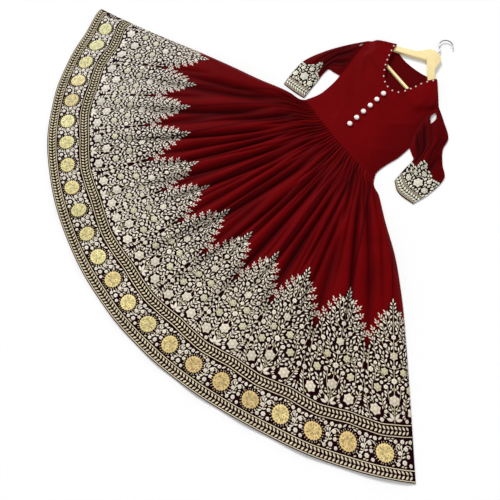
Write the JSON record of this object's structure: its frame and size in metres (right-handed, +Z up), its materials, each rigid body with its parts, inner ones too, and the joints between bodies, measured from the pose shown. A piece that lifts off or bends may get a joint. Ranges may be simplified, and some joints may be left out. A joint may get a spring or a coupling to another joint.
{
  "type": "anarkali gown on wooden hanger",
  "caption": "Floor-length anarkali gown with a gathered circular skirt, bordered hem and short cut-out sleeves, laid out flat on a wooden hanger with a wire hook.",
  "frame": {"origin": "middle of the footprint on the floor that the gown lies on", "axes": "+Z up off the floor, +Y from the hem to the neck along the bodice, +X to the viewer's right across the skirt"},
  "size_m": [2.0002, 1.6071, 0.0236],
  "materials": {
    "maroon_cloth": "smooth crepe with a soft sheen, embroidered in cream and gold thread at the hem and cuffs",
    "button": "pearly white",
    "wood": "pale painted wood",
    "hook_wire": "bright wire"
  },
  "bodies": {
    "root": {"skirt_front": "maroon_cloth", "skirt_back": "maroon_cloth", "bodice_front": "maroon_cloth", "bodice_back": "maroon_cloth", "sleeve_left_front": "maroon_cloth", "sleeve_left_back": "maroon_cloth", "sleeve_right_front": "maroon_cloth", "sleeve_right_back": "maroon_cloth", "button_1": "button", "button_2": "button", "button_3": "button", "button_4": "button", "button_5": "button", "button_6": "button", "hanger_yoke": "wood", "hanger_bar": "wood", "hanger_hook": "hook_wire"}
  },
  "joints": []
}
